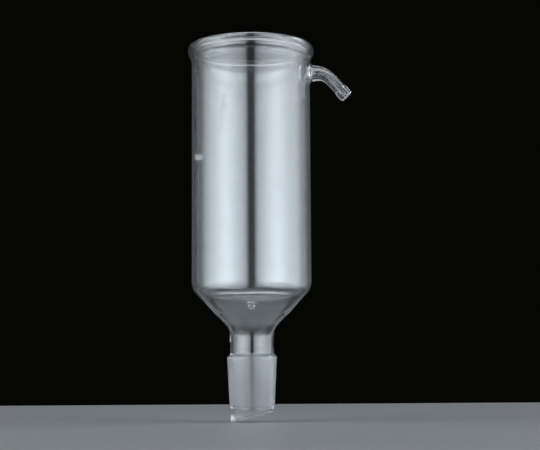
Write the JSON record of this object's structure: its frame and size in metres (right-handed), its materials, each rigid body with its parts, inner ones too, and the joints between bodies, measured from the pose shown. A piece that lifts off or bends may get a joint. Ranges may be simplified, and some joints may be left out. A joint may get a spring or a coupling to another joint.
{
  "type": "soxhlet extractor head",
  "caption": "Clear glass double-walled laboratory head with an open flared well, a bent hose arm near the rim, a funnel bottom and a frosted ground joint with a slant-cut drip tip.",
  "frame": {"origin": "on the axis, in the plane of the ground joint's large end", "axes": "+Z along the axis up to the open rim, +X to the side arm"},
  "size_m": [0.1159, 0.0894, 0.2627],
  "materials": {
    "clear_glass": "clear, fire-polished borosilicate",
    "ground_glass": "fine ground, frosted"
  },
  "bodies": {
    "root": {"rim_lip": "clear_glass", "ring_seal": "clear_glass", "jacket_tube": "clear_glass", "shoulder_cone": "clear_glass", "neck_funnel": "clear_glass", "neck_tube": "clear_glass", "drip_tip": "clear_glass", "well_tube": "clear_glass", "well_bottom": "clear_glass", "drip_nipple": "clear_glass", "spacer_knob": "clear_glass", "arm_boss": "clear_glass", "side_arm": "clear_glass", "hose_end": "clear_glass", "ground_joint": "ground_glass"}
  },
  "joints": []
}
